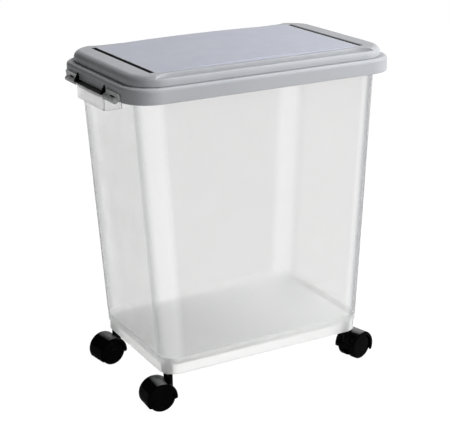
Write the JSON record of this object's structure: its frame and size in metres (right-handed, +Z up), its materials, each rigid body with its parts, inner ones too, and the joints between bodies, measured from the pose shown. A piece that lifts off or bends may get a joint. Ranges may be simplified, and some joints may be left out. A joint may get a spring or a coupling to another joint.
{
  "type": "rolling pet food container",
  "caption": "Tall tapered see-through bin for dry pet food, with a grey two-tier airtight lid, snap latches on the short sides and swivel casters.",
  "frame": {"origin": "on the floor, under the middle of the container", "axes": "+X along the long side to the right of the front, +Y to the back, +Z up"},
  "size_m": [0.4062, 0.242, 0.4606],
  "materials": {
    "clear_polypropylene": "translucent, slightly milky",
    "grey_polypropylene": "cool grey, satin",
    "pale_grey_plastic": "pale grey, semi-gloss",
    "black_plastic": "black, satin",
    "black_nylon": "black, glossy",
    "seal_rubber": "soft grey silicone",
    "steel": "bright zinc plate"
  },
  "bodies": {
    "container": {"bin": "clear_polypropylene", "left_latch_hinge_rod": "steel", "right_latch_hinge_rod": "steel", "front_left_caster_stem": "steel", "front_left_caster_grip_ring": "steel", "front_right_caster_stem": "steel", "front_right_caster_grip_ring": "steel", "rear_left_caster_stem": "steel", "rear_left_caster_grip_ring": "steel", "rear_right_caster_stem": "steel", "rear_right_caster_grip_ring": "steel"},
    "lid": {"lid_frame": "grey_polypropylene", "lid_cover": "grey_polypropylene", "lid_gasket": "seal_rubber"},
    "left_latch": {"left_latch_lever": "pale_grey_plastic", "left_latch_grip": "black_plastic"},
    "right_latch": {"right_latch_lever": "pale_grey_plastic", "right_latch_grip": "black_plastic"},
    "front_left_caster": {"front_left_caster_hood": "black_nylon", "front_left_caster_axle": "steel"},
    "front_left_outer_wheel": {"front_left_caster_outer_wheel": "black_nylon"},
    "front_left_inner_wheel": {"front_left_caster_inner_wheel": "black_nylon"},
    "front_right_caster": {"front_right_caster_hood": "black_nylon", "front_right_caster_axle": "steel"},
    "front_right_outer_wheel": {"front_right_caster_outer_wheel": "black_nylon"},
    "front_right_inner_wheel": {"front_right_caster_inner_wheel": "black_nylon"},
    "rear_left_caster": {"rear_left_caster_hood": "black_nylon", "rear_left_caster_axle": "steel"},
    "rear_left_outer_wheel": {"rear_left_caster_outer_wheel": "black_nylon"},
    "rear_left_inner_wheel": {"rear_left_caster_inner_wheel": "black_nylon"},
    "rear_right_caster": {"rear_right_caster_hood": "black_nylon", "rear_right_caster_axle": "steel"},
    "rear_right_outer_wheel": {"rear_right_caster_outer_wheel": "black_nylon"},
    "rear_right_inner_wheel": {"rear_right_caster_inner_wheel": "black_nylon"}
  },
  "joints": [
    {"name": "lid_lift", "type": "slide", "parent": "container", "child": "lid", "axis": [0, 0, 1], "range_m": [0, 0.2]},
    {"name": "left_latch_swing", "type": "hinge", "parent": "container", "child": "left_latch", "pos_m": [-0.1985, 0, 0.425], "axis": [0, -1, 0], "range_deg": [-6, 85]},
    {"name": "right_latch_swing", "type": "hinge", "parent": "container", "child": "right_latch", "pos_m": [0.1985, 0, 0.425], "axis": [0, 1, 0], "range_deg": [-6, 85]},
    {"name": "front_left_caster_swivel", "type": "hinge", "parent": "container", "child": "front_left_caster", "pos_m": [-0.1435, -0.085, 0.045], "axis": [0, 0, 1], "continuous": true},
    {"name": "front_left_outer_wheel_spin", "type": "hinge", "parent": "front_left_caster", "child": "front_left_outer_wheel", "pos_m": [-0.15848, -0.08421, 0.0195], "axis": [0.0523, 0.9986, 0], "continuous": true},
    {"name": "front_left_inner_wheel_spin", "type": "hinge", "parent": "front_left_caster", "child": "front_left_inner_wheel", "pos_m": [-0.15848, -0.08421, 0.0195], "axis": [0.0523, 0.9986, 0], "continuous": true},
    {"name": "front_right_caster_swivel", "type": "hinge", "parent": "container", "child": "front_right_caster", "pos_m": [0.1435, -0.085, 0.045], "axis": [0, 0, 1], "continuous": true},
    {"name": "front_right_outer_wheel_spin", "type": "hinge", "parent": "front_right_caster", "child": "front_right_outer_wheel", "pos_m": [0.15799, -0.08112, 0.0195], "axis": [-0.2588, 0.9659, 0], "continuous": true},
    {"name": "front_right_inner_wheel_spin", "type": "hinge", "parent": "front_right_caster", "child": "front_right_inner_wheel", "pos_m": [0.15799, -0.08112, 0.0195], "axis": [-0.2588, 0.9659, 0], "continuous": true},
    {"name": "rear_left_caster_swivel", "type": "hinge", "parent": "container", "child": "rear_left_caster", "pos_m": [-0.1435, 0.085, 0.045], "axis": [0, 0, 1], "continuous": true},
    {"name": "rear_left_outer_wheel_spin", "type": "hinge", "parent": "rear_left_caster", "child": "rear_left_outer_wheel", "pos_m": [-0.15835, 0.08291, 0.0195], "axis": [-0.1392, 0.9903, 0], "continuous": true},
    {"name": "rear_left_inner_wheel_spin", "type": "hinge", "parent": "rear_left_caster", "child": "rear_left_inner_wheel", "pos_m": [-0.15835, 0.08291, 0.0195], "axis": [-0.1392, 0.9903, 0], "continuous": true},
    {"name": "rear_right_caster_swivel", "type": "hinge", "parent": "container", "child": "rear_right_caster", "pos_m": [0.1435, 0.085, 0.045], "axis": [0, 0, 1], "continuous": true},
    {"name": "rear_right_outer_wheel_spin", "type": "hinge", "parent": "rear_right_caster", "child": "rear_right_outer_wheel", "pos_m": [0.15817, 0.08188, 0.0195], "axis": [0.2079, 0.9781, 0], "continuous": true},
    {"name": "rear_right_inner_wheel_spin", "type": "hinge", "parent": "rear_right_caster", "child": "rear_right_inner_wheel", "pos_m": [0.15817, 0.08188, 0.0195], "axis": [0.2079, 0.9781, 0], "continuous": true}
  ]
}
